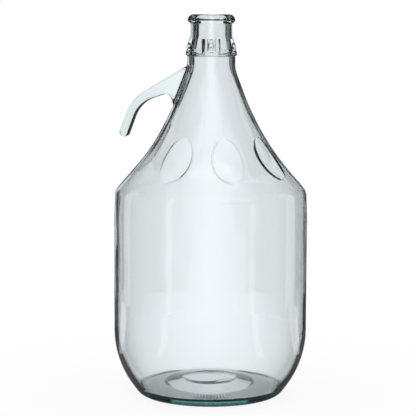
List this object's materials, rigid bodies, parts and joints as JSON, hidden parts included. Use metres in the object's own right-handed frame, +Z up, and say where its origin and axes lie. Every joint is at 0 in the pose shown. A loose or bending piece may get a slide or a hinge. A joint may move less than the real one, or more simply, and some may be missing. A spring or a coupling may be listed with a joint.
{
  "type": "demijohn",
  "caption": "Clear glass demijohn with a narrow lipped neck, an open carrying hook, thumb hollows round the shoulder and seats on the neck for a wire closure.",
  "frame": {"origin": "on the bottle's axis, on the plane of the bearing ring of the foot", "axes": "+Z up along the axis to the mouth; the carrying hook reaches towards -X; +Y completes the right-handed frame"},
  "size_m": [0.1824, 0.1824, 0.36],
  "materials": {
    "glass": "clear blown glass with a faint green-blue tint"
  },
  "bodies": {
    "root": {"demijohn": "glass"}
  },
  "joints": []
}
